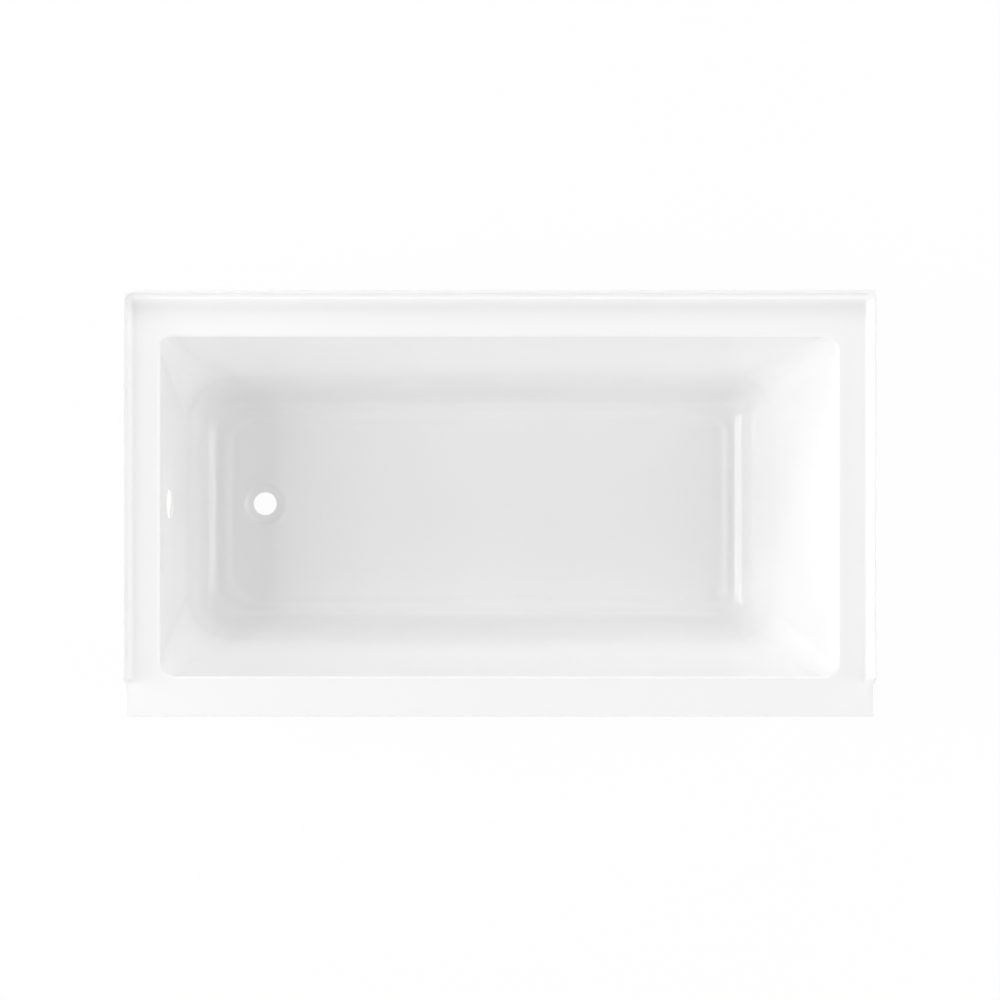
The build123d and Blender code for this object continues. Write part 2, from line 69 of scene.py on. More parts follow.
class Finish:
    def __init__(self, name):
        self.material = bpy.data.materials.new(name)
        self.material.use_nodes = True
        self.tree = self.material.node_tree
        self.tree.nodes.clear()

    @classmethod
    def of(cls, tree):
        finish = cls.__new__(cls)
        finish.tree = tree
        tree.nodes.clear()
        return finish

    def node(self, kind, settings=None, inputs=None, output=0):
        made = self.tree.nodes.new(kind)
        for key, value in (settings or {}).items():
            if key == "stops":
                self.setStops(made.color_ramp, value)
            else:
                setattr(made, key, value)
        for key, value in (inputs or {}).items():
            if isinstance(value, Wire):
                self.tree.links.new(value.socket, made.inputs[key])
            else:
                made.inputs[key].default_value = value
        return Wire(self, made.outputs[output]) if made.outputs else None

    def setStops(self, ramp, stops):
        ramp.elements[0].position = stops[0][0]
        ramp.elements[1].position = stops[-1][0]
        for place, _ in stops[1:-1]:
            ramp.elements.new(place)
        for element, (_, tone) in zip(ramp.elements, stops):
            element.color = (*tone, 1)

    def place(self, scale=(1, 1, 1), turn=(0, 0, 0), shift=(0, 0, 0)):
        # shifts and turns the pattern's axes, then packs it scale times closer along each
        here = self.node("ShaderNodeTexCoord", output="Object")
        size = [1 / share for share in scale]
        return self.node(
            "ShaderNodeMapping",
            {"vector_type": "TEXTURE"},
            {"Vector": here, "Scale": size, "Rotation": turn, "Location": shift},
        )

    def shifted(self, place, drift):
        return self.node("ShaderNodeVectorMath", {"operation": "ADD"}, {0: place, 1: drift})

    def noise(self, place, scale, detail=2.0, roughness=0.5, output="Fac"):
        inputs = {"Vector": place, "Scale": scale, "Detail": detail, "Roughness": roughness}
        return self.node("ShaderNodeTexNoise", {}, inputs, output)

    def cells(self, place, scale, output, settings=None):
        return self.node("ShaderNodeTexVoronoi", settings, {"Vector": place, "Scale": scale}, output)

    def cellTone(self, place, scale):
        # one level for each cell
        return self.node("ShaderNodeSeparateColor", {}, {"Color": self.cells(place, scale, "Color")}, "Red")

    def ramp(self, factor, *stops):
        return self.node("ShaderNodeValToRGB", {"stops": stops}, {"Fac": factor}, "Color")

    def between(self, factor, low, high):
        return self.node(
            "ShaderNodeMapRange",
            {"interpolation_type": "SMOOTHSTEP"},
            {"Value": factor, "From Min": low, "From Max": high},
        )

    def mix(self, factor, first, second):
        return self.node("ShaderNodeMix", {"data_type": "RGBA"}, {0: factor, 6: first, 7: second}, 2)

    def bump(self, height, strength, distance, under=None):
        inputs = {"Height": height, "Strength": strength, "Distance": distance}
        if under:
            inputs["Normal"] = under
        return self.node("ShaderNodeBump", {}, inputs)

    def surface(self, **inputs):
        named = {key.replace("_", " "): value for key, value in inputs.items()}
        self.finishWith(self.node("ShaderNodeBsdfPrincipled", {}, named))

    def finishWith(self, shader):
        self.node("ShaderNodeOutputMaterial", {}, {"Surface": shader})

    def seenOrMirrored(self):
        # 1 for what the camera sees straight or in gloss
        seen = self.node("ShaderNodeLightPath", output="Is Camera Ray")
        return seen + self.node("ShaderNodeLightPath", output="Is Glossy Ray")


acrylic = {
    "tone": (0.945, 0.945, 0.945, 1),
    "shade": (0.93, 0.93, 0.93, 1),
    "roughness": 0.075,
    "wipeMarks": 0.05,
    "ripple": 0.0003,
}


def acrylicFinish():
    finish = Finish("whiteAcrylic")
    slow = finish.noise(finish.place(), 3.5, 2)
    wiped = finish.noise(finish.place((1.5, 9, 9), (0, 0, 0.3)), 2.2, 4, 0.6)
    sheetWave = finish.noise(finish.place(shift=(0.3, 0.1, 0)), 11, 1)
    peel = finish.noise(finish.place(), 240, 1)
    wave = finish.bump(sheetWave, 0.35, acrylic["ripple"])
    finish.surface(
        Base_Color=finish.mix(slow, acrylic["tone"], acrylic["shade"]),
        Roughness=acrylic["roughness"] + wiped * acrylic["wipeMarks"],
        IOR=1.49,
        Normal=finish.bump(peel, 0.05, 0.00005, wave),
    )
    return finish.material


# Finishes of what holds the tub up

timber = {
    "pale": (0.62, 0.46, 0.28, 1),
    "dark": (0.43, 0.28, 0.14, 1),
    "ringScale": 62,
    "heart": (0, 0.031, 0.052),
    "sway": 0.02,
    "roughness": 0.72,
}
particleBoard = {
    "pale": (0.66, 0.52, 0.34, 1),
    "middle": (0.50, 0.37, 0.22, 1),
    "dark": (0.30, 0.21, 0.12, 1),
    "chipScale": 260,
}
laminate = {
    "lies": ((0, 0.5, 0.2), (0, -0.7, -0.3), (0.4, 1.3, 0.1), (0.2, 0.4, 1.2), (0, -0.8, 1.7), (0, 0.1, 0.8)),
    "resin": (0.72, 0.70, 0.60, 1),
    "dryGlass": (0.88, 0.87, 0.82, 1),
    "wetGlass": (0.60, 0.59, 0.49, 1),
}
steel = {
    "galvanisedLight": (0.70, 0.72, 0.73, 1),
    "galvanisedDark": (0.50, 0.52, 0.54, 1),
    "zincLight": (0.76, 0.77, 0.79, 1),
    "zincDark": (0.60, 0.61, 0.64, 1),
}
nylon = {"tone": (0.035, 0.035, 0.038, 1), "worn": (0.075, 0.075, 0.078, 1)}


def timberFinish(name, turn):
    # growth rings run round an axis that lies along the piece, some way outside it
    finish = Finish(name)
    along = finish.place((1, 1, 1), turn, timber["heart"])
    bent = finish.noise(finish.place((1.2, 7, 7), turn), 3, 3)
    sway = (0, timber["sway"], timber["sway"])
    drift = finish.node("ShaderNodeVectorMath", {"operation": "SCALE"}, {0: sway, "Scale": bent})
    trunk = finish.shifted(along, drift)
    rings = finish.node(
        "ShaderNodeTexWave",
        {"wave_type": "RINGS", "rings_direction": "X", "wave_profile": "SAW"},
        {"Vector": trunk, "Scale": timber["ringScale"], "Distortion": 0.6, "Detail": 2.0, "Detail Scale": 1.4},
        "Fac",
    )
    fibre = finish.noise(finish.place((2.5, 160, 160), turn), 6, 3, 0.6)
    tint = finish.noise(finish.place((0.5, 4, 4), turn), 2.5, 2)
    late = finish.between(rings, 0.35, 0.98) * 0.62 + fibre * 0.30 + tint * 0.12
    saw = finish.noise(finish.place((120, 3, 3), turn), 5, 2)
    finish.surface(
        Base_Color=finish.mix(late, timber["pale"], timber["dark"]),
        Roughness=timber["roughness"] + fibre * 0.14,
        Normal=finish.bump(fibre * 0.7 + saw * 0.3, 0.45, 0.0006),
    )
    return finish.material


def particleBoardFinish():
    finish = Finish("particleBoard")
    bed = finish.place((1, 1.25, 2.6), (0, 0, 0.4))
    warped = finish.shifted(bed, finish.noise(bed, 90, output="Color"))
    tone = finish.cellTone(warped, particleBoard["chipScale"])
    dust = finish.noise(bed, 900, 2)
    level = tone * 0.75 + dust * 0.35
    colour = finish.ramp(
        level,
        (0.10, particleBoard["dark"][:3]),
        (0.38, particleBoard["middle"][:3]),
        (0.85, particleBoard["pale"][:3]),
    )
    edges = finish.cells(warped, particleBoard["chipScale"], "Distance", {"feature": "DISTANCE_TO_EDGE"})
    finish.surface(
        Base_Color=colour,
        Roughness=0.78 + dust * 0.12,
        Normal=finish.bump(finish.between(edges, 0, 0.12) + dust * 0.4, 0.55, 0.0006),
    )
    return finish.material


def laminateFinish():
    # sprayed strands lie every way; each layer is one lie of them
    finish = Finish("fibreglass")
    strands = None
    for turn in laminate["lies"]:
        lie = finish.noise(finish.place((16, 260, 260), turn, turn), 1.5, 1, 0.4)
        strand = finish.between(lie, 0.58, 0.66)
        strands = strands.work("MAXIMUM", strand) if strands else strand
    pool = finish.noise(finish.place(), 26, 3)
    lumps = finish.noise(finish.place(shift=(0.7, 0.2, 0)), 85, 3, 0.6)
    resin = finish.mix(finish.between(pool, 0.38, 0.66), laminate["resin"], laminate["wetGlass"])
    finish.surface(
        Base_Color=finish.mix(strands * 0.75, resin, laminate["dryGlass"]),
        Roughness=0.34 + lumps * 0.32,
        IOR=1.53,
        Normal=finish.bump(strands * 0.45 + lumps, 0.8, 0.0016),
    )
    return finish.material


def galvanisedFinish():
    finish = Finish("galvanisedSteel")
    frost = finish.noise(finish.place(), 60, 2)
    tone = finish.cellTone(finish.place(turn=(0.3, 0.2, 0.1)), 105)
    feather = finish.noise(finish.place((1, 6, 6), (0.4, 0.1, 0.9)), 160, 3, 0.6)
    level = tone * 0.6 + feather * 0.4
    finish.surface(
        Base_Color=finish.mix(level, steel["galvanisedDark"], steel["galvanisedLight"]),
        Metallic=0.92,
        Roughness=0.30 + level * 0.22 + frost * 0.06,
        Normal=finish.bump(level, 0.12, 0.0003),
    )
    return finish.material


def zincFinish():
    finish = Finish("zincPlate")
    cloud = finish.noise(finish.place(), 140, 3, 0.6)
    drawn = finish.noise(finish.place((1, 1, 26)), 90, 2)
    finish.surface(
        Base_Color=finish.mix(cloud, steel["zincDark"], steel["zincLight"]),
        Metallic=1.0,
        Roughness=0.20 + cloud * 0.16 + drawn * 0.06,
        Normal=finish.bump(drawn, 0.10, 0.0002),
    )
    return finish.material


def nylonFinish():
    finish = Finish("padNylon")
    grain = finish.noise(finish.place(), 900, 2)
    scuff = finish.between(finish.noise(finish.place(), 45, 5, 0.7), 0.52, 0.72)
    finish.surface(
        Base_Color=finish.mix(scuff * 0.7, nylon["tone"], nylon["worn"]),
        Roughness=0.42 + scuff * 0.22,
        IOR=1.53,
        Normal=finish.bump(grain, 0.25, 0.0003),
    )
    return finish.material


timberMaterials = {
    "x": timberFinish("timberAlongTub", (0, 0, 0)),
    "y": timberFinish("timberAcrossTub", (0, 0, math.radians(90))),
    "z": timberFinish("timberUpright", (0, math.radians(90), 0)),
}
slotMaterials = {
    "white_acrylic": acrylicFinish(),
    "board": particleBoardFinish(),
    "fibreglass": laminateFinish(),
    "galvanised_steel": galvanisedFinish(),
    "zinc_steel": zincFinish(),
    "pad_nylon": nylonFinish(),
}
print("Finishes made")


# Turning a bmesh into a piece of the object

def camel(node):
    first, *others = node.split("_")
    return first + "".join(part.capitalize() for part in others)


def makePiece(mesh, node, slot, body="tub", name=None, material=None, sharpAngle=35):
    data = bpy.data.meshes.new(name or camel(node))
    mesh.to_mesh(data)
    mesh.free()
    for polygon in data.polygons:
        polygon.use_smooth = True
    data.set_sharp_from_angle(angle=math.radians(sharpAngle))
    data.materials.append(material or slotMaterials[slot])
    piece = bpy.data.objects.new(data.name, data)
    bpy.context.scene.collection.objects.link(piece)
    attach(piece, body)
    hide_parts(node)


# Helpers that draw, join and cut bmeshes

def nodeCorners(node):
    low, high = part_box(node)
    return Vector(low), Vector(high)


def bevelled(mesh, geom, offset, segments, affect="EDGES"):
    bmesh.ops.bevel(
        mesh, geom=geom, affect=affect, offset=offset, segments=segments, profile=0.5, material=-1,
        offset_type="OFFSET", clamp_overlap=True,
    )


def facedOut(mesh):
    bmesh.ops.recalc_face_normals(mesh, faces=mesh.faces)
    mesh.normal_update()


def vertsOf(geom):
    return [part for part in geom if isinstance(part, bmesh.types.BMVert)]


def boxBetween(low, high):
    mesh = bmesh.new()
    size = high - low
    place = Matrix.Translation((low + high) / 2) @ Matrix.Diagonal((*size, 1))
    bmesh.ops.create_cube(mesh, size=1, matrix=place)
    return mesh


def joined(first, second):
    # puts a second bmesh into the first
    data = bpy.data.meshes.new("joined")
    second.to_mesh(data)
    second.free()
    first.from_mesh(data)
    bpy.data.meshes.remove(data)
    return first


def held(mesh):
    # a passing object that holds a bmesh while a modifier works on it
    data = bpy.data.meshes.new("holder")
    mesh.to_mesh(data)
    mesh.free()
    holder = bpy.data.objects.new("holder", data)
    bpy.context.scene.collection.objects.link(holder)
    return holder


def released(*holders):
    seen = holders[0].evaluated_get(bpy.context.evaluated_depsgraph_get())
    data = bpy.data.meshes.new_from_object(seen)
    result = bmesh.new()
    result.from_mesh(data)
    bpy.data.meshes.remove(data)
    for holder in holders:
        bpy.data.objects.remove(holder)
    return result


def combined(first, second, operation="DIFFERENCE"):
    # exact boolean of two bmeshes, both used up
    target, tool = held(first), held(second)
    modifier = target.modifiers.new("combine", "BOOLEAN")
    modifier.operation = operation
    modifier.solver = "EXACT"
    modifier.object = tool
    return released(target, tool)


def thickened(mesh, thickness, offset):
    # offset 0 thickens to both sides, -1 behind the faces
    target = held(mesh)
    modifier = target.modifiers.new("thicken", "SOLIDIFY")
    modifier.thickness = thickness
    modifier.offset = offset
    modifier.use_even_offset = True
    return released(target)


def traced(mesh, points, closed):
    # a line through the points, one vertex pulled from the last
    made = bmesh.ops.create_vert(mesh, co=points[0])["vert"]
    first = last = made[0]
    for point in points[1:]:
        grown = bmesh.ops.extrude_vert_indiv(mesh, verts=[last])["verts"]
        last = grown[0]
        last.co = point
    if closed:
        bmesh.ops.contextual_create(mesh, geom=[last, first])


def turnedSolid(profile, steps, closed=False):
    # radius and height pairs spun round Z; an open profile starts and ends on the axis
    mesh = bmesh.new()
    traced(mesh, [Vector((radius, 0, height)) for radius, height in profile], closed)
    bmesh.ops.spin(
        mesh, geom=mesh.verts[:] + mesh.edges[:], cent=(0, 0, 0), axis=(0, 0, 1), angle=2 * math.pi,
        steps=steps, use_merge=True,
    )
    bmesh.ops.remove_doubles(mesh, verts=mesh.verts, dist=1e-6)
    facedOut(mesh)
    return mesh


def addRod(mesh, place, radius, depth, segments):
    bmesh.ops.create_cone(
        mesh, cap_ends=True, segments=segments, radius1=radius, radius2=radius, depth=depth, matrix=place
    )


def stamped(prototype, places):
    # copies of one bmesh at several places
    result = bmesh.new()
    for place in places:
        copy = prototype.copy()
        bmesh.ops.transform(copy, matrix=place, verts=copy.verts)
        joined(result, copy)
    prototype.free()
    return result


# The tub's sheet, drawn as rings round the basin from the drain outwards, over the rim and back under

tub = {
    "halfLength": 0.762,
    "halfWidth": 0.432,
    "deckZ": 0.521,
    "sheet": 0.004,
    "decks": {"left": 0.072, "right": 0.075, "front": 0.081, "back": 0.091},
    "drafts": {"left": 3.5, "right": 19.5, "front": 11.5, "back": 13.5},
    "depth": 0.400,
    "mouthCorner": 0.030,
    "mouthEdge": 0.007,
    "lowCorners": {"left": 0.120, "right": 0.080},
    "bottomRadius": 0.055,
    "wallBlend": 0.115,
    "cornerLoss": {"left": 0.048, "right": 0.043},
    "floorFall": 0.4,
    "drainX": -0.519,
    "cornerSteps": 14,
    "longSteps": 26,
}
panel = {
    "step": 0.005,
    "slopeRun": 0.014,
    "edgeRadius": 0.028,
    "innerRows": (0.012, 0.001),
    "ledges": {"left": 0.009, "right": 0.006, "front": 0.0065, "back": 0.014},
    "corners": {"left": 0.050, "right": 0.015},
}
flange = {
    "height": 0.025,
    "top": 0.005,
    "inner": 0.052,
    "draft": 10,
    "rootRadius": 0.018,
    "cornerRadius": 0.014,
    "footInset": 0.0094,
    "leastCorner": 0.004,
    "innerRings": 18,
    "outerCorner": 0.0022,
    "edgeRadius": 0.0015,
    "start": -0.366,
    "ramp": 0.016,
    "turnRadius": 0.014,
}
lip = {
    "height": 0.035,
    "edgeRadius": 0.004,
    "cornerRadius": 0.005,
    "deckRows": (0.033, 0.032, 0.010, 0.009, 0.0045),
    "foot": ((0.0002, 0.0004), (0.0008, 0), (0.0032, 0), (0.0039, 0.0006), (0.004, 0.004)),
    "inside": ((0, -0.003), (0.0008, 0)),
}
drainDish = {
    "profile": (
        (0.0500, 0.0), (0.0480, -0.00004), (0.0466, -0.00022), (0.0450, -0.00062), (0.0430, -0.00145),
        (0.0400, -0.00278), (0.0382, -0.00346), (0.0364, -0.00384), (0.0344, -0.00398), (0.0330, -0.0040),
        (0.0264, -0.0040), (0.0257, -0.0042), (0.0254, -0.0047),
    ),
    "throat": ((0.0254, -0.0076), (0.0258, -0.0080)),
    "underFrom": 9,
    "underSpread": 0.0007,
    "steps": 72,
}
overflow = {"radius": 0.032, "drop": 0.100, "cutDepth": 0.04, "steps": 64}
sides = ("front", "right", "back", "left")
sideSteps = (
    -0.4245, -0.4100, -0.3900, -0.3720, -0.3668, -0.3660, -0.3645, -0.3625, -0.3600, -0.3570, -0.3545,
    -0.3520, -0.3505, -0.3490, -0.3440, -0.3300, -0.2900, -0.2200, -0.1400, -0.0500, 0.0500, 0.1400,
    0.2200, 0.2900, 0.3400, 0.3750, 0.3950,
)


def spaced(count, margin):
    # shares along a side, with a first and last step close to the corners
    inner = [margin + (1 - 2 * margin) * i / (count - 3) for i in range(count - 2)]
    return [margin / 4] + inner + [1 - margin / 4]


ringColumns = {}


def useColumns(longCount, shortCount, cornerCount):
    # how many columns the next rings have along the long sides, the short sides and each corner
    ringColumns["long"] = spaced(longCount, 0.012)
    ringColumns["short"] = spaced(shortCount, 0.02)
    ringColumns["corner"] = cornerCount


useColumns(tub["longSteps"], len(sideSteps), tub["cornerSteps"])


def settled(place, first, last):
    # keeps the steps near the flange's ends where they are, and draws the outer ones in between the corners
    ends = (first, sideSteps[0], sideSteps[3], 0.1), (last, sideSteps[-1], sideSteps[-4], 0.02)
    for corner, outer, kept, least in ends:
        if (place - kept) * (outer - kept) > 0:
            share = (place - outer) / (kept - outer)
            return corner + (kept - corner) * (least + (1 - least) * share)
    return place


def outline(low, high, radii, fixedShare=0.0):
    # points and side weights round a rounded rectangle, anticlockwise from the front's left end
    steps = ringColumns["corner"]
    corners = (low, Vector((high.x, low.y)), high, Vector((low.x, high.y)))
    inward = ((1, 1), (-1, 1), (-1, -1), (1, -1))
    centres = [corner + Vector(way) * radius for corner, way, radius in zip(corners, inward, radii)]
    columns = {"front": (), "right": sideSteps, "back": (), "left": sideSteps[::-1]}
    found = []
    for index, side in enumerate(sides):
        after = (index + 1) % 4
        across = Vector(((0, -1), (1, 0), (0, 1), (-1, 0))[index])
        start, end = centres[index] + across * radii[index], centres[after] + across * radii[after]
        for i, share in enumerate(ringColumns["short" if columns[side] else "long"]):
            point = start.lerp(end, share)
            if columns[side] and fixedShare:
                fixedPlace = settled(columns[side][i], min(start.y, end.y), max(start.y, end.y))
                point.y += (fixedPlace - point.y) * fixedShare
            found.append((point, {side: 1.0}))
        for i in range(steps + 1):
            turn = math.radians(90 * index - 90 + 90 * i / steps)
            point = centres[after] + Vector((math.cos(turn), math.sin(turn))) * radii[after]
            found.append((point, {side: 1 - i / steps, sides[after]: i / steps}))
    return found


def leanOf(side):
    return math.radians(tub["drafts"][side])


def reachOf(radius, lean):
    # from a corner between wall and level to where a rounding of that radius starts
    return radius * math.tan((math.pi / 2 - lean) / 2)


def mouthLine():
    decks = tub["decks"]
    low = Vector((-tub["halfLength"] + decks["left"], -tub["halfWidth"] + decks["front"]))
    high = Vector((tub["halfLength"] - decks["right"], tub["halfWidth"] - decks["back"]))
    return low, high


def basinRing(insets, drops, corners, fall, fixedShare=0.0):
    # insets and drops by side, measured from the mouth's line; fall is how far the floor's slope is in it
    low, high = mouthLine()
    low = low + Vector((insets["left"], insets["front"]))
    high = high - Vector((insets["right"], insets["back"]))
    middle = (low + high) / 2
    half = (high - low) / 2
    slope = math.tan(math.radians(tub["floorFall"]))
    left, right = corners
    ring = []
    for point, weights in outline(low, high, (left, right, right, left), fixedShare):
        drop = sum(drops[side] * share for side, share in weights.items())
        rise = slope * (point.x - tub["drainX"]) * fall
        sideX = "right" if point.x > middle.x else "left"
        sideY = "back" if point.y > middle.y else "front"
        outX = rise * math.tan(leanOf(sideX)) / half.x
        outY = rise * math.tan(leanOf(sideY)) / half.y
        x = middle.x + (point.x - middle.x) * (1 + outX)
        y = middle.y + (point.y - middle.y) * (1 + outY)
        ring.append(Vector((x, y, tub["deckZ"] - drop + rise)))
    return ring


def mouthRing(share, grow):
    # the rounded edge from the deck, at share 0, to the wall, at share 1
    radius = tub["mouthEdge"] - grow
    insets, drops = {}, {}
    for side in sides:
        lean = leanOf(side)
        turn = (math.pi / 2 - lean) * share
        insets[side] = -reachOf(tub["mouthEdge"], lean) + radius * math.sin(turn)
        drops[side] = tub["mouthEdge"] - radius * math.cos(turn)
    corner = tub["mouthCorner"] + grow
    return basinRing(insets, drops, (corner, corner), 0)


def wallLimits(side):
    lean = leanOf(side)
    # the depths at which the wall's straight part starts and ends
    return reachOf(tub["mouthEdge"], lean) * math.cos(lean), tub["depth"] - tub["wallBlend"] * math.cos(lean)


def cornersAt(depth, grow):
    share = depth / tub["depth"]
    start = tub["mouthCorner"]
    return [start + (tub["lowCorners"][end] - start) * share + grow for end in ("left", "right")]


def wallRing(share, grow):
    insets, drops = {}, {}
    for side in sides:
        lean = leanOf(side)
        top, bottom = wallLimits(side)
        depth = top + (bottom - top) * share
        insets[side] = depth * math.tan(lean) - grow * math.cos(lean)
        drops[side] = depth + grow * math.sin(lean)
    middleDepth = (drops["left"] + drops["right"]) / 2
    return basinRing(insets, drops, cornersAt(middleDepth, grow), share)


def bottomRing(share, grow):
    # the sweep from wall, at share 0, to floor, at share 1, drawn as a parabola that is slow to leave the wall
    insets, drops, reaches = {}, {}, {}
    for side in sides:
        lean = leanOf(side)
        corner = Vector((tub["depth"] * math.tan(lean), tub["depth"]))
        upWall = Vector((-math.sin(lean), -math.cos(lean))) * tub["wallBlend"]
        inFloor = Vector((reachOf(tub["bottomRadius"], lean), 0))
        point = corner + upWall * (1 - share) ** 2 + inFloor * share ** 2
        run = (inFloor * share - upWall * (1 - share)).normalized()
        insets[side] = point.x - run.y * grow
        drops[side] = point.y + run.x * grow
        reaches[side] = (point.x - corner.x - upWall.x) / (inFloor.x - upWall.x)
    corners = []
    for index, end in enumerate(("left", "right")):
        wall = cornersAt(wallLimits(end)[1], 0)[index]
        floor = tub["lowCorners"][end] - tub["cornerLoss"][end]
        corners.append(wall + (floor - wall) * reaches[end] + grow)
    return basinRing(insets, drops, corners, 1)


def onFloor(along, across, height):
    # a place measured from the drain, along and square to the floor's slope
    lean = math.radians(tub["floorFall"])
    start = Vector((tub["drainX"], 0, tub["deckZ"] - tub["depth"]))
    ahead = Vector((math.cos(lean), 0, math.sin(lean)))
    up = Vector((-math.sin(lean), 0, math.cos(lean)))
    return start + ahead * along + Vector((0, across, 0)) + up * height


def panelEdges():
    low, high = mouthLine()
    slope = math.tan(math.radians(tub["floorFall"]))
    depths = dict.fromkeys(sides, tub["depth"])
    depths["right"] = tub["depth"] - slope * (high.x - tub["drainX"])
    inward = {}
    for side in sides:
        lean = leanOf(side)
        reach = tub["bottomRadius"] * (1 - math.sin(lean)) / math.cos(lean)
        ledge = panel["ledges"][side] + panel["slopeRun"]
        inward[side] = depths[side] * math.tan(lean) + reach + ledge
    lowEdge = Vector((low.x + inward["left"] - tub["drainX"], low.y + inward["front"]))
    highEdge = Vector((high.x - inward["right"] - tub["drainX"], high.y - inward["back"]))
    return lowEdge, highEdge


def panelRing(spread, height):
    low, high = panelEdges()
    grown = Vector((spread, spread))
    left = panel["corners"]["left"] + spread
    right = panel["corners"]["right"] + spread
    ring = outline(low - grown, high + grown, (left, right, right, left))
    return [onFloor(point.x, point.y, height) for point, _ in ring]


def panelSection():
    # spread and height from the panel's floor up to the ledge
    lean = math.atan2(panel["step"], panel["slopeRun"])
    radius = panel["edgeRadius"]
    reach = radius * math.tan(lean / 2)
    steps = 6
    section = [(-reach - row, -panel["step"]) for row in panel["innerRows"]]
    for i in range(steps + 1):
        turn = lean * i / steps
        section.append((-reach + radius * math.sin(turn), -panel["step"] + radius * (1 - math.cos(turn))))
    for i in range(steps + 1):
        turn = lean * (1 - i / steps)
        section.append((panel["slopeRun"] + reach - radius * math.sin(turn), -radius * (1 - math.cos(turn))))
    return section


def rimSections():
    # matching inset and height pairs for the flanged sides and for the plain front, from the deck outwards
    wall, edge, turned = math.radians(flange["draft"]), flange["edgeRadius"], flange["turnRadius"]
    foot = flange["top"] + flange["height"] * math.tan(wall)
    rise = math.pi / 2 - wall
    reach = flange["rootRadius"] * math.tan(rise / 2)
    sheet, round_ = tub["sheet"], lip["edgeRadius"]
    inner = flange["inner"]
    first, second, third, fourth, last = lip["deckRows"]
    flanged, plain = [(inner, 0), (foot + reach + 0.001, 0)], [(inner, 0), (first, 0)]
    for i in range(11):
        turn = rise * i / 10
        flanged.append(
            (foot + reach - flange["rootRadius"] * math.sin(turn), flange["rootRadius"] * (1 - math.cos(turn)))
        )
        plain.append((second + (third - second) * i / 10, 0))
    crown = Vector((flange["top"] - edge * math.tan(rise / 2), flange["height"] - edge))
    for i in range(5):
        turn = wall + rise * i / 4
        flanged.append((crown.x + edge * math.cos(turn), crown.y + edge * math.sin(turn)))
        plain.append((fourth + (last - fourth) * i / 4, 0))
    for i in range(5):
        turn = math.pi / 2 * i / 4
        flanged.append((edge * (1 - math.sin(turn)), flange["height"] - edge * (1 - math.cos(turn))))
        plain.append((round_ * (1 - math.sin(turn)), -round_ * (1 - math.cos(turn))))
    for share in (0.05, 0.5, 0.95):
        flanged.append((0, flange["height"] - edge - (flange["height"] - edge - turned + sheet) * share))
        plain.append((0, -round_ - (lip["height"] - round_ - 0.001) * share))
    for i in range(7):
        turn = math.pi / 2 * i / 6
        flanged.append((turned * (1 - math.cos(turn)), -sheet + turned * (1 - math.sin(turn))))
    plain += [(inset, height - lip["height"]) for inset, height in lip["foot"]]
    plain += [(sheet + inset, height - sheet) for inset, height in lip["inside"]]
    return flanged + [(inner, -sheet)], plain + [(inner, -sheet)]


def rimRing(flangedPair, plainPair, flangedCorner, plainCorner):
    def line(pair, corner):
        reach = Vector((tub["halfLength"] - pair[0], tub["halfWidth"] - pair[0]))
        return [
            (Vector((point.x, point.y, tub["deckZ"] + pair[1])), weights)
            for point, weights in outline(-reach, reach, [corner] * 4, 1.0)
        ]

    ring = []
    for (high, weights), (low, _) in zip(line(flangedPair, flangedCorner), line(plainPair, plainCorner)):
        share = min(1, max(0, (low.y - flange["start"]) / flange["ramp"]))
        if "front" in weights:
            share = 0
        ring.append(low.lerp(high, share * share * (3 - 2 * share)))
    return ring


def drawRings(mesh, rings):
    # a circle pulled to the first outline, then its edge extruded to each next one
    bmesh.ops.create_circle(mesh, segments=len(rings[0]), radius=1)
    column = mesh.verts.layers.int.new("column")
    mesh.verts.ensure_lookup_table()
    verts = mesh.verts[-len(rings[0]):]
    for index, vert in enumerate(verts):
        vert[column] = index
        vert.co = rings[0][index]
    edges = [edge for edge in mesh.edges if edge.verts[0] in verts and edge.verts[1] in verts]
    first = edges
    for ring in rings[1:]:
        grown = bmesh.ops.extrude_edge_only(mesh, edges=edges)["geom"]
        for vert in vertsOf(grown):
            vert.co = ring[vert[column]]
        edges = [part for part in grown if isinstance(part, bmesh.types.BMEdge) and part.is_boundary]
    mesh.verts.layers.int.remove(mesh.verts.layers.int["column"])
    return first, edges


def tubRings():
    sheet = tub["sheet"]
    section = panelSection()
    rings = [panelRing(spread, height) for spread, height in section]
    rings += [bottomRing(1 - i / 16, 0) for i in range(17)]
    rings += [wallRing(share, 0) for share in (0.99, 0.85, 0.7, 0.55, 0.4, 0.25, 0.12, 0.02)]
    rings += [mouthRing(1 - i / 8, 0) for i in range(9)]
    for index, pairs in enumerate(zip(*rimSections())):
        corner = flange["outerCorner"]
        if index < flange["innerRings"]:
            corner = max(flange["leastCorner"], flange["cornerRadius"] + flange["footInset"] - pairs[0][0])
        rings.append(rimRing(*pairs, corner, lip["cornerRadius"]))
    rings += [mouthRing(share, sheet) for share in (0, 0.5, 1)]
    rings += [wallRing(share, sheet) for share in (0.02, 0.5, 0.99)]
    rings += [bottomRing(i / 8, sheet) for i in range(9)]
    rings += [panelRing(spread + drainDish["underSpread"], height - sheet) for spread, height in section[::-1]]
    return rings


def dishRing(steps, radius, height):
    turns = [2 * math.pi * i / steps for i in range(steps)]
    return [onFloor(math.cos(turn) * radius, math.sin(turn) * radius, height - panel["step"]) for turn in turns]


def dishRings():
    pairs = list(drainDish["profile"] + drainDish["throat"])
    for radius, height in drainDish["profile"][drainDish["underFrom"]::-1]:
        pairs.append((radius + drainDish["underSpread"], height - tub["sheet"]))
    return [dishRing(drainDish["steps"], *pair) for pair in pairs]


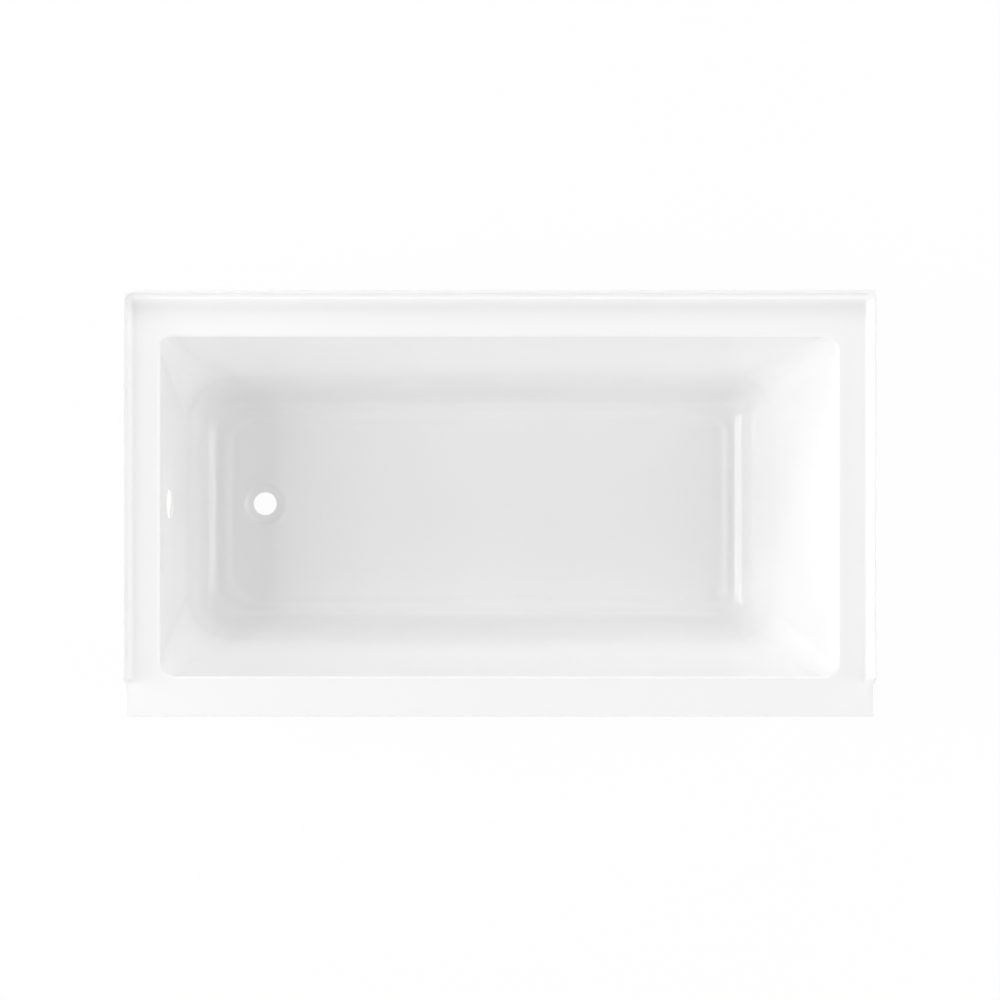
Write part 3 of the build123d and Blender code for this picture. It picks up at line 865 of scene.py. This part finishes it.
def sheetBetween(rings, dish):
    # closes two runs of rings, and the room between the panel's and the dish's edges on both faces
    mesh = bmesh.new()
    panelTop, panelUnder = drawRings(mesh, rings)
    dishTop, dishUnder = drawRings(mesh, dish)
    bmesh.ops.triangle_fill(mesh, edges=panelTop + dishTop, use_beauty=True)
    bmesh.ops.triangle_fill(mesh, edges=panelUnder + dishUnder, use_beauty=True)
    facedOut(mesh)
    return mesh


def overflowCutter(clear=0.0):
    lean = leanOf("left")
    hole = Vector((mouthLine()[0].x + overflow["drop"] * math.tan(lean), 0, tub["deckZ"] - overflow["drop"]))
    place = Matrix.Translation(hole) @ Matrix.Rotation(math.radians(90) - lean, 4, "Y")
    cutter = bmesh.new()
    addRod(cutter, place, overflow["radius"] + clear, overflow["cutDepth"], overflow["steps"])
    return cutter


shell = combined(sheetBetween(tubRings(), dishRings()), overflowCutter())
makePiece(shell, "tub_shell", "white_acrylic")
print("Tub shell drawn")


# Glass and resin on the back of the sheet, as lumpy as a spray gun leaves it

backing = {
    "near": 0.0042,
    "far": 0.0068,
    "edgeGap": 0.014,
    "lump": 0.0008,
    "lumpScale": 48,
    "fineLumps": {"scale": 2.3, "share": 0.5},
    "panelSpread": 0.17,
    "raggedEdge": 0.0035,
    "raggedBand": 0.02,
    "raggedScale": 60,
    "mouthGap": 0.006,
    "deckCorners": (0.036, 0.012),
    "dish": ((0.052, 0.0), (0.0465, -0.0002), (0.0430, -0.0014), (0.0390, -0.0032), (0.0355, -0.004)),
    "dishHole": 0.0262,
    "dishSpreads": (0.0007, 0.0015),
    "dishSteps": 48,
    "groundBack": 0.009,
    "columns": (92, 46, 12),
}


def backingRings(sheetGap):
    section = panelSection()
    low, high = mouthLine()
    rings = [panelRing(spread + sheetGap * backing["panelSpread"], height - sheetGap) for spread, height in section]
    rings += [bottomRing(1 - i / 10, sheetGap) for i in range(11)]
    rings += [wallRing(1 - i / 24, sheetGap) for i in range(1, 24)]
    rings += [mouthRing(share, sheetGap) for share in (1, 0.66, 0.33, 0)]
    outer = Vector([half - backing["edgeGap"] for half in (tub["halfLength"], tub["halfWidth"])])
    gap = Vector((backing["mouthGap"], backing["mouthGap"]))
    innerCorner, outerCorner = backing["deckCorners"]
    for share in (0.05, 0.2, 0.4, 0.6, 0.8, 0.93, 1.0):
        radius = innerCorner + (outerCorner - innerCorner) * share
        line = outline((low - gap).lerp(-outer, share), (high + gap).lerp(outer, share), [radius] * 4)
        rings.append([Vector((point.x, point.y, tub["deckZ"] - sheetGap)) for point, _ in line])
    return rings


def backingDish():
    near, far = backing["near"], backing["far"]
    nearSpread, farSpread = backing["dishSpreads"]
    slope, hole, floor = backing["dish"], backing["dishHole"], backing["dish"][-1][1]
    pairs = [(radius + nearSpread, height - near) for radius, height in slope]
    pairs += [(hole, floor - near), (hole, floor - far)]
    pairs += [(radius + farSpread, height - far) for radius, height in slope[::-1]]
    return [dishRing(backing["dishSteps"], *pair) for pair in pairs]


def fibreglassBacking():
    useColumns(*backing["columns"])
    inside = backingRings(backing["near"])
    outside = backingRings(backing["far"])[::-1]
    mesh = sheetBetween(inside + outside, backingDish())
    count = len(inside[0])
    start = len(inside) * count
    fine = backing["fineLumps"]
    for vert in mesh.verts[:][start:start + len(outside) * count]:
        place = vert.co * backing["lumpScale"]
        lump = noise.noise(place) + fine["share"] * noise.noise(place * fine["scale"])
        vert.co += vert.normal * (lump * backing["lump"])
    edgeRoom = backing["edgeGap"] + backing["raggedBand"]
    limits = tub["halfLength"] - edgeRoom, tub["halfWidth"] - edgeRoom
    for vert in mesh.verts:
        ragged = noise.noise(Vector((vert.co.x, vert.co.y, 0)) * backing["raggedScale"]) * backing["raggedEdge"]
        for axis, limit in enumerate(limits):
            if abs(vert.co[axis]) > limit:
                vert.co[axis] += math.copysign(ragged, vert.co[axis])
    mesh = combined(mesh, overflowCutter(backing["groundBack"]))
    makePiece(mesh, "fibreglass_backing", "fibreglass", sharpAngle=60)


fibreglassBacking()
print("Fibreglass laid")


# Particle board under the floor, notched for the waste

board = {"inset": 0.005, "thickness": 0.016, "corner": 0.025, "notch": 0.065, "arris": 0.0008, "gap": 0.0006}


def baseBoard():
    low, high = panelEdges()
    room = Vector((board["inset"] + board["corner"], board["inset"] + board["corner"]))
    low, high = low + room, high - room
    corner, notch = board["corner"], board["notch"]
    top = -panel["step"] - backing["far"] - board["gap"]

    def arc(centre, radius, start, turn, steps):
        for i in range(steps + 1):
            angle = math.radians(start + turn * i / steps)
            points.append(Vector(centre) + Vector((math.cos(angle), math.sin(angle))) * radius)

    points = [Vector((low.x - corner, -notch))]
    for i, centre in enumerate(((low.x, low.y), (high.x, low.y), (high.x, high.y), (low.x, high.y))):
        arc(centre, corner, 180 + 90 * i, 90, 10)
    points.append(Vector((low.x - corner, notch)))
    arc((0, 0), notch, 90, -180, 32)
    mesh = bmesh.new()
    traced(mesh, [onFloor(point.x, point.y, top - board["thickness"]) for point in points], True)
    face = bmesh.ops.contextual_create(mesh, geom=mesh.edges[:])["faces"]
    lift = onFloor(0, 0, board["thickness"]) - onFloor(0, 0, 0)
    grown = bmesh.ops.extrude_face_region(mesh, geom=face)["geom"]
    bmesh.ops.translate(mesh, vec=lift, verts=vertsOf(grown))
    facedOut(mesh)
    rims = [edge for edge in mesh.edges if any(len(face.verts) > 4 for face in edge.link_faces)]
    bevelled(mesh, rims, board["arris"], 2)
    makePiece(mesh, "base_board", "board")


baseBoard()
print("Board cut")


# Softwood under the deck and behind the apron

battens = {
    "arris": 0.0011,
    "along": {
        "x": ("rim_batten_front", "rim_batten_back", "apron_top_batten", "apron_bottom_batten"),
        "y": ("rim_batten_drain_end", "rim_batten_backrest_end"),
        "z": ("apron_post_left", "apron_post_middle", "apron_post_right"),
    },
    "sectionLength": 0.05,
    "sawScale": 21,
    "sawWave": 0.0005,
}


def sawnTimber(node, axis):
    low, high = nodeCorners(node)
    mesh = boxBetween(low, high)
    bevelled(mesh, mesh.edges[:], battens["arris"], 2)
    longAxis = "xyz".index(axis)
    length = high[longAxis] - low[longAxis]
    direction = Vector([1.0 if i == longAxis else 0.0 for i in range(3)])
    sections = max(2, round(length / battens["sectionLength"]))
    for i in range(1, sections):
        geom = mesh.verts[:] + mesh.edges[:] + mesh.faces[:]
        place = low + direction * (length * i / sections)
        bmesh.ops.bisect_plane(mesh, geom=geom, plane_co=place, plane_no=direction)
    centre = (low + high) / 2
    for vert in mesh.verts:
        # the ends keep their length and size
        if abs(vert.co[longAxis] - centre[longAxis]) < length * 0.49:
            inward = (centre - vert.co).normalized()
            inward[longAxis] = 0
            vert.co += inward * abs(noise.noise(vert.co * battens["sawScale"])) * battens["sawWave"]
    makePiece(mesh, node, "timber", material=timberMaterials[axis])


for axis, nodes in battens["along"].items():
    for node in nodes:
        sawnTimber(node, axis)
print("Timber sawn")


# Steel pressed from strip: hat rails, angles and stays

pressed = {
    "rail": {"strip": 0.002, "bend": 0.0035, "lip": 0.020},
    "bracket": {"strip": 0.002, "bend": 0.003},
    "stay": {"strip": 0.003, "bend": 0.004},
    "edge": 0.0003,
    "studHole": 0.007,
    "punchDepth": 0.012,
    "cornerRound": 0.005,
}


def pressedStrip(points, width, strip, bend, cornerRound=0.0):
    # points lie in the middle of the strip's thickness; width is the way that the strip is drawn
    def loneVerts():
        return [vert for vert in mesh.verts if len(vert.link_edges) == 2]

    mesh = bmesh.new()
    traced(mesh, points, False)
    bevelled(mesh, loneVerts(), bend, 5, "VERTICES")
    grown = bmesh.ops.extrude_edge_only(mesh, edges=mesh.edges[:])["geom"]
    bmesh.ops.translate(mesh, vec=width, verts=vertsOf(grown))
    if cornerRound:
        bevelled(mesh, loneVerts(), cornerRound, 5, "VERTICES")
    facedOut(mesh)
    mesh = thickened(mesh, strip, 0)
    facedOut(mesh)
    sharp = [edge for edge in mesh.edges if len(edge.link_faces) == 2 and edge.calc_face_angle() > math.radians(60)]
    bevelled(mesh, sharp, pressed["edge"], 1)
    return mesh


feet = {
    "ends": ("drain_end", "middle", "backrest_end"),
    "sides": ("front", "back"),
    "stays": ("drain_end", "backrest_end"),
    "brackets": ("left", "middle", "right"),
}


def footPlace(end, side):
    low, high = nodeCorners(f"foot_pad_{end}_{side}")
    return (low + high) / 2


def crossRail(end):
    node = "cross_rail_" + end
    low, high = nodeCorners(node)
    rail = pressed["rail"]
    strip, half = rail["strip"], (high.x - low.x) / 2
    crown = half - rail["lip"] - strip / 2
    top, bottom = high.z - strip / 2, low.z + strip / 2
    path = [(-half, top), (-crown, top), (-crown, bottom), (crown, bottom), (crown, top), (half, top)]
    points = [Vector((low.x + half + across, low.y, z)) for across, z in path]
    mesh = pressedStrip(points, Vector((0, high.y - low.y, 0)), strip, rail["bend"])
    punch = bmesh.new()
    for side in feet["sides"]:
        place = Matrix.Translation((*footPlace(end, side).xy, low.z))
        addRod(punch, place, pressed["studHole"], pressed["punchDepth"], 32)
    makePiece(combined(mesh, punch), node, "galvanised_steel")


for end in feet["ends"]:
    crossRail(end)


def angleStrip(node, strip, bend):
    low, high = nodeCorners(node)
    y, z = low.y + strip / 2, high.z - strip / 2
    points = [Vector((low.x, y, low.z)), Vector((low.x, y, z)), Vector((low.x, high.y, z))]
    mesh = pressedStrip(points, Vector((high.x - low.x, 0, 0)), strip, bend, pressed["cornerRound"])
    makePiece(mesh, node, "galvanised_steel")


for place in feet["brackets"]:
    angleStrip("apron_bracket_" + place, **pressed["bracket"])
for end in feet["stays"]:
    angleStrip("apron_stay_" + end, **pressed["stay"])
print("Steel pressed")


# Screws with a pan head and a cross recess

panScrew = {
    "shank": 0.0021,
    "head": 0.0042,
    "height": 0.0024,
    "crown": ((0, 1), (0.35, 0.98), (0.62, 0.88), (0.84, 0.68), (0.96, 0.40), (1, 0.16), (0.99, 0)),
    "turns": 8,
    "threadRoot": 0.72,
    "point": 0.0024,
    "slot": (0.0048, 0.0008, 0.00264),
    "slotTurns": (5, 95),
    "steps": 28,
    "long": 0.014,
    "short": 0.009,
    "onRail": ((-0.03, -0.075), (-0.03, 0.075), (0.03, -0.075), (0.03, 0.075)),
    "onBracket": (-0.010, 0.010),
    "fromAngle": 0.020,
    "fromStayEnd": 0.009,
    "leftTurned": {"rail": 0.5, "nextOnRail": 1.3, "up": 0.4, "into": 1.1, "stayInto": 0.9, "stayUp": 0.3},
    "threadStart": 0.0004,
    "plain": 0.003,
}


def panHeadScrew(length):
    head, height, shank = panScrew["head"], panScrew["height"], panScrew["shank"]
    profile = [(head * radius, height * share) for radius, share in panScrew["crown"]] + [(shank, 0.0)]
    threaded, turns = length - panScrew["plain"], panScrew["turns"]
    for i in range(turns):
        z = -panScrew["threadStart"] - threaded * i / turns
        profile += [(shank, z), (shank * panScrew["threadRoot"], z - threaded / turns * 0.5)]
    profile += [(shank * 0.9, -length + panScrew["point"]), (0, -length)]
    mesh = turnedSolid(profile, panScrew["steps"])
    for turn in panScrew["slotTurns"]:
        cutter = bmesh.new()
        place = Matrix.Translation((0, 0, height)) @ Matrix.Rotation(math.radians(turn), 4, "Z")
        bmesh.ops.create_cube(cutter, size=1, matrix=place @ Matrix.Diagonal((*panScrew["slot"], 1)))
        mesh = combined(mesh, cutter)
    return mesh


def facing(place, axis, turn):
    # a screw whose head faces along axis
    quat = Vector(axis).to_track_quat("Z", "Y").to_matrix().to_4x4()
    return Matrix.Translation(place) @ quat @ Matrix.Rotation(turn, 4, "Z")


def screwPiece(node, longPlaces, shortPlaces=()):
    mesh = stamped(panHeadScrew(panScrew["long"]), longPlaces)
    if shortPlaces:
        joined(mesh, stamped(panHeadScrew(panScrew["short"]), shortPlaces))
    makePiece(mesh, node, "zinc_steel")


def drivenScrews():
    down, inward, inset, turns = (0, 0, -1), (0, 1, 0), panScrew["fromAngle"], panScrew["leftTurned"]
    places = []
    for end in feet["ends"]:
        low, high = nodeCorners("cross_rail_" + end)
        middle = (low + high) / 2
        for i, (dx, dy) in enumerate(panScrew["onRail"]):
            place = (middle.x + dx, middle.y + dy, high.z - pressed["rail"]["strip"])
            places.append(facing(place, down, turns["rail"] + turns["nextOnRail"] * i))
    screwPiece("rail_screws", places)
    places, strip = [], pressed["bracket"]["strip"]
    for side in feet["brackets"]:
        low, high = nodeCorners("apron_bracket_" + side)
        for i, dx in enumerate(panScrew["onBracket"]):
            x = (low.x + high.x) / 2 + dx
            places.append(facing((x, low.y + inset, high.z - strip), down, turns["up"] + i))
            places.append(facing((x, low.y + strip, high.z - inset), inward, turns["into"] + i))
    screwPiece("bracket_screws", places)
    longPlaces, shortPlaces, strip = [], [], pressed["stay"]["strip"]
    for end in feet["stays"]:
        low, high = nodeCorners("apron_stay_" + end)
        x = (low.x + high.x) / 2
        longPlaces.append(facing((x, low.y + strip, high.z - inset), inward, turns["stayInto"]))
        shortPlaces.append(facing((x, high.y - panScrew["fromStayEnd"], high.z - strip), down, turns["stayUp"]))
    screwPiece("stay_screws", longPlaces, shortPlaces)


drivenScrews()
print("Screws driven")


# Levelling feet: pad, threaded stud, lock nut and weld nut

foot = {
    "flats": 0.019,
    "chamfer": 0.96,
    "bore": 0.00605,
    "boreEdge": 0.0006,
    "cornerRoom": 0.0002,
    "threadCrest": 0.00595,
    "threadRoot": 0.00505,
    "pitch": 0.00175,
    "tooth": (0.40, 0.54, 0.94),
    "threadSteps": 20,
    "collarUp": 0.012,
    "collarHeight": 0.006,
    "shankFoot": ((0, 0), (0.0055, 0), (0.00598, 0.0006)),
    "shankCollar": ((0.00598, 0.004), (0.0049, 0.0045)),
    "shankTop": ((0.0049, -0.002), (0.0056, -0.0012), (0.0048, 0), (0, 0)),
    "threadMargins": (0.005, 0.0005),
    "weldNutHeight": 0.010,
    "weldBead": ((0.0092, 0), (0.0124, 0), (0.0112, 0.0012), (0.0098, 0.0019)),
    "treads": (0.006, 0.012, 0.018, 0.024),
    "treadDepth": 0.0012,
    "treadHalf": 0.001,
    "treadReaches": (-0.0015, -0.001, 0.001, 0.0015),
    "padProfile": (
        (0.0275, 0.0012), (0.0280, 0.0), (0.0294, 0.0), (0.0299, 0.0008), (0.0300, 0.0036), (0.0296, 0.0045),
        (0.0287, 0.0050), (0.0276, 0.0049), (0.0268, 0.0042), (0.0180, 0.0040), (0.0168, 0.0052),
        (0.0141, 0.0148), (0.0134, 0.0158), (0.0126, 0.0160), (0.0072, 0.0160), (0.0063, 0.0152),
        (0.0061, 0.0142), (0.0061, 0.0041), (0, 0.0041),
    ),
    "padSteps": 56,
    "padRibs": 8,
    "rib": ((0.0130, -0.0009, 0.0030), (0.0278, 0.0009, 0.0132)),
    "ribToe": 0.0052,
    "ribEdge": 0.0003,
}


def hexNut(low, high):
    corner = foot["flats"] / 2 / math.cos(math.radians(30))
    flat, bore, edge = foot["flats"] / 2 * foot["chamfer"], foot["bore"], foot["boreEdge"]
    height = high - low
    drop = (corner - flat) * math.tan(math.radians(30))
    profile = [(bore, edge), (bore + edge, 0), (flat, 0), (corner + foot["cornerRoom"], drop)]
    profile += [(radius, height - z) for radius, z in profile[::-1]]
    disc = turnedSolid(profile, 48, closed=True)
    prism = bmesh.new()
    addRod(prism, Matrix.Translation((0, 0, height / 2)), corner, height * 1.2, 6)
    mesh = combined(disc, prism, "INTERSECT")
    bmesh.ops.translate(mesh, vec=(0, 0, low), verts=mesh.verts)
    return mesh


def threadedRod(low, high):
    # one tooth's outline drawn round in a helix, with both its ends closed
    pitch, root, crest, steps = foot["pitch"], foot["threadRoot"], foot["threadCrest"], foot["threadSteps"]
    turns = int((high - low) / pitch) - 1
    rise, fall, heel = [pitch * share for share in foot["tooth"]]
    tooth = [(root, 0), (crest, rise), (crest, fall), (root, heel), (root, pitch)]
    mesh = bmesh.new()
    traced(mesh, [Vector((radius, 0, low + height)) for radius, height in tooth], False)
    bmesh.ops.spin(
        mesh, geom=mesh.verts[:] + mesh.edges[:], cent=(0, 0, 0), axis=(0, 0, 1),
        angle=2 * math.pi * turns, steps=turns * steps, dvec=(0, 0, pitch / steps),
    )
    bmesh.ops.remove_doubles(mesh, verts=mesh.verts, dist=1e-5)
    bmesh.ops.holes_fill(mesh, edges=[edge for edge in mesh.edges if edge.is_boundary], sides=0)
    facedOut(mesh)
    return mesh


def placed(mesh, end, side):
    # from the foot's own axis to its place under the rail
    bmesh.ops.translate(mesh, vec=(*footPlace(end, side).xy, 0), verts=mesh.verts)
    return mesh


def footStud(end, side):
    node = f"foot_stud_{end}_{side}"
    low, high = nodeCorners(node)
    collar = low.z + foot["collarUp"]
    above, below = foot["threadMargins"]
    parts = (low.z, foot["shankFoot"]), (collar, foot["shankCollar"]), (high.z, foot["shankTop"])
    shank = turnedSolid([(radius, start + z) for start, rows in parts for radius, z in rows], 36)
    mesh = joined(shank, threadedRod(collar + above, high.z - below))
    joined(mesh, hexNut(collar, collar + foot["collarHeight"]))
    makePiece(placed(mesh, end, side), node, "zinc_steel", f"stud_{end}_{side}")


def lockNut(end, side):
    node = f"lock_nut_{end}_{side}"
    low, high = nodeCorners(node)
    makePiece(placed(hexNut(low.z, high.z), end, side), node, "zinc_steel", f"nut_{end}_{side}")


def weldNuts():
    mesh = bmesh.new()
    for end in feet["ends"]:
        seat = nodeCorners("cross_rail_" + end)[0].z + pressed["rail"]["strip"]
        for side in feet["sides"]:
            bead = turnedSolid(foot["weldBead"], 40, closed=True)
            bmesh.ops.translate(bead, vec=(0, 0, seat), verts=bead.verts)
            joined(mesh, placed(joined(hexNut(seat, seat + foot["weldNutHeight"]), bead), end, side))
    makePiece(mesh, "rail_weld_nuts", "zinc_steel", name="weldNuts")


def footPad(end, side):
    node = f"foot_pad_{end}_{side}"
    depth = foot["treadDepth"]
    profile = [(0, depth)]
    for radius in foot["treads"]:
        profile += [(radius + reach, depth if abs(reach) > foot["treadHalf"] else 0) for reach in foot["treadReaches"]]
    mesh = turnedSolid(profile + list(foot["padProfile"]), foot["padSteps"])
    inner, outer = [Vector(corner) for corner in foot["rib"]]
    rib = boxBetween(inner, outer)
    for vert in rib.verts:
        # slopes the rib's top down to its toe
        if vert.co.x > (inner.x + outer.x) / 2 and vert.co.z > (inner.z + outer.z) / 2:
            vert.co.z = foot["ribToe"]
    bevelled(rib, rib.edges[:], foot["ribEdge"], 1)
    turns = [Matrix.Rotation(2 * math.pi * i / foot["padRibs"], 4, "Z") for i in range(foot["padRibs"])]
    joined(mesh, stamped(rib, turns))
    bmesh.ops.translate(mesh, vec=(0, 0, nodeCorners(node)[0].z), verts=mesh.verts)
    makePiece(placed(mesh, end, side), node, "pad_nylon", f"pad_{end}_{side}")


for end in feet["ends"]:
    for side in feet["sides"]:
        footPad(end, side)
        footStud(end, side)
        lockNut(end, side)
weldNuts()
print("Feet made")


# Apron: a shallow tray of the same sheet, on edge

apron = {"outerRadius": 0.005, "sheet": 0.004, "edge": 0.0006}


def apronPanel():
    low, high = nodeCorners("apron_panel")
    mesh = boxBetween(low, high)
    open_ = [face for face in mesh.faces if face.normal.z > 0.5 or face.normal.y > 0.5]
    bmesh.ops.delete(mesh, geom=open_, context="FACES")
    folds = [edge for edge in mesh.edges if not edge.is_boundary]
    bevelled(mesh, folds, apron["outerRadius"], 6)
    facedOut(mesh)
    front = min(mesh.faces, key=lambda face: face.calc_center_median().y)
    if front.normal.y > 0:
        bmesh.ops.reverse_faces(mesh, faces=mesh.faces)
    mesh = thickened(mesh, apron["sheet"], -1)
    facedOut(mesh)
    rims = [
        edge for edge in mesh.edges
        if len(edge.link_faces) == 2 and edge.calc_face_angle() > math.radians(70)
        and max(abs(vert.co.z - high.z) < 0.0001 or abs(vert.co.y - high.y) < 0.0001 for vert in edge.verts)
    ]
    bevelled(mesh, rims, apron["edge"], 2)
    makePiece(mesh, "apron_panel", "white_acrylic")


apronPanel()
print("Apron made")


# Studio: a pale floor, soft lights from all four sides, and a camera over the tub

studio = {
    "floorTone": (0.9, 0.9, 0.9, 1),
    "floorWhite": 0.96,
    "floorZ": -0.0004,
    "floorHalf": 15,
    "worldLevel": 0.25,
    "aim": (0, 0, 0.4),
    "lights": (
        ("lightDrainEndLow", (-5, 0, 1.6), (3, 2), 92),
        ("lightDrainEndHigh", (-4, 0, 4.2), (3, 3), 86),
        ("lightBack", (0, 5, 3.0), (4, 2), 110),
        ("lightBackrestEndLow", (5, 0, 1.6), (3, 2), 59),
        ("lightBackrestEndHigh", (4, 0, 4.2), (3, 3), 62),
        ("lightFront", (0, -5, 3.0), (4, 2), 73),
        ("lightFrontLow", (0, -5, 1.8), (4, 2), 17),
        ("lampDrainEnd", (-2.7, 0.1, 4.6), (1.6, 0.2), 8),
        ("lampBackrestEnd", (2.3, -0.3, 4.6), (1.4, 0.15), 4),
        ("lampBackCorner", (2.1, 1.6, 4.6), (0.3, 0.2), 1.5),
    ),
    "cameraHeight": 5.021,
    "cameraPlace": (0.001, 0.008),
    "lens": 79.8,
}


def studioFloor():
    mesh = bmesh.new()
    place = Matrix.Translation((0, 0, studio["floorZ"]))
    bmesh.ops.create_grid(mesh, x_segments=4, y_segments=4, size=studio["floorHalf"], matrix=place)
    data = bpy.data.meshes.new("studioFloor")
    mesh.to_mesh(data)
    mesh.free()
    finish = Finish("studioFloor")
    lit = finish.node("ShaderNodeBsdfDiffuse", {}, {"Color": studio["floorTone"]})
    white = finish.node("ShaderNodeEmission", {}, {"Color": (1, 1, 1, 1), "Strength": 1.0})
    share = finish.seenOrMirrored() * studio["floorWhite"]
    finish.finishWith(finish.node("ShaderNodeMixShader", {}, {0: share, 1: lit, 2: white}))
    data.materials.append(finish.material)
    floor = bpy.data.objects.new("studioFloor", data)
    bpy.context.scene.collection.objects.link(floor)


def softLight(name, place, size, power):
    data = bpy.data.lights.new(name, "AREA")
    data.shape = "RECTANGLE"
    data.size, data.size_y = size
    data.energy = power
    light = bpy.data.objects.new(name, data)
    light.location = place
    light.rotation_euler = (Vector(studio["aim"]) - Vector(place)).to_track_quat("-Z", "Y").to_euler()
    bpy.context.scene.collection.objects.link(light)


def studioWorld():
    # lights the tub at its level, and shows white to the camera and in gloss
    world = bpy.data.worlds.new("studioWorld")
    world.use_nodes = True
    sky = Finish.of(world.node_tree)
    lit = sky.node("ShaderNodeBackground", {}, {"Color": (1, 1, 1, 1), "Strength": studio["worldLevel"]})
    white = sky.node("ShaderNodeBackground", {}, {"Color": (1, 1, 1, 1), "Strength": 1.0})
    shown = sky.node("ShaderNodeMixShader", {}, {0: sky.seenOrMirrored(), 1: lit, 2: white})
    sky.node("ShaderNodeOutputWorld", {}, {"Surface": shown})
    bpy.context.scene.world = world


def studioCamera():
    data = bpy.data.cameras.new("photoCamera")
    data.lens = studio["lens"]
    data.sensor_width = 36
    camera = bpy.data.objects.new("photoCamera", data)
    camera.location = (*studio["cameraPlace"], studio["cameraHeight"])
    bpy.context.scene.collection.objects.link(camera)
    bpy.context.scene.camera = camera


studioFloor()
studioWorld()
studioCamera()
for settings in studio["lights"]:
    softLight(*settings)
bpy.context.scene.view_settings.view_transform = "Standard"
print("Studio set")
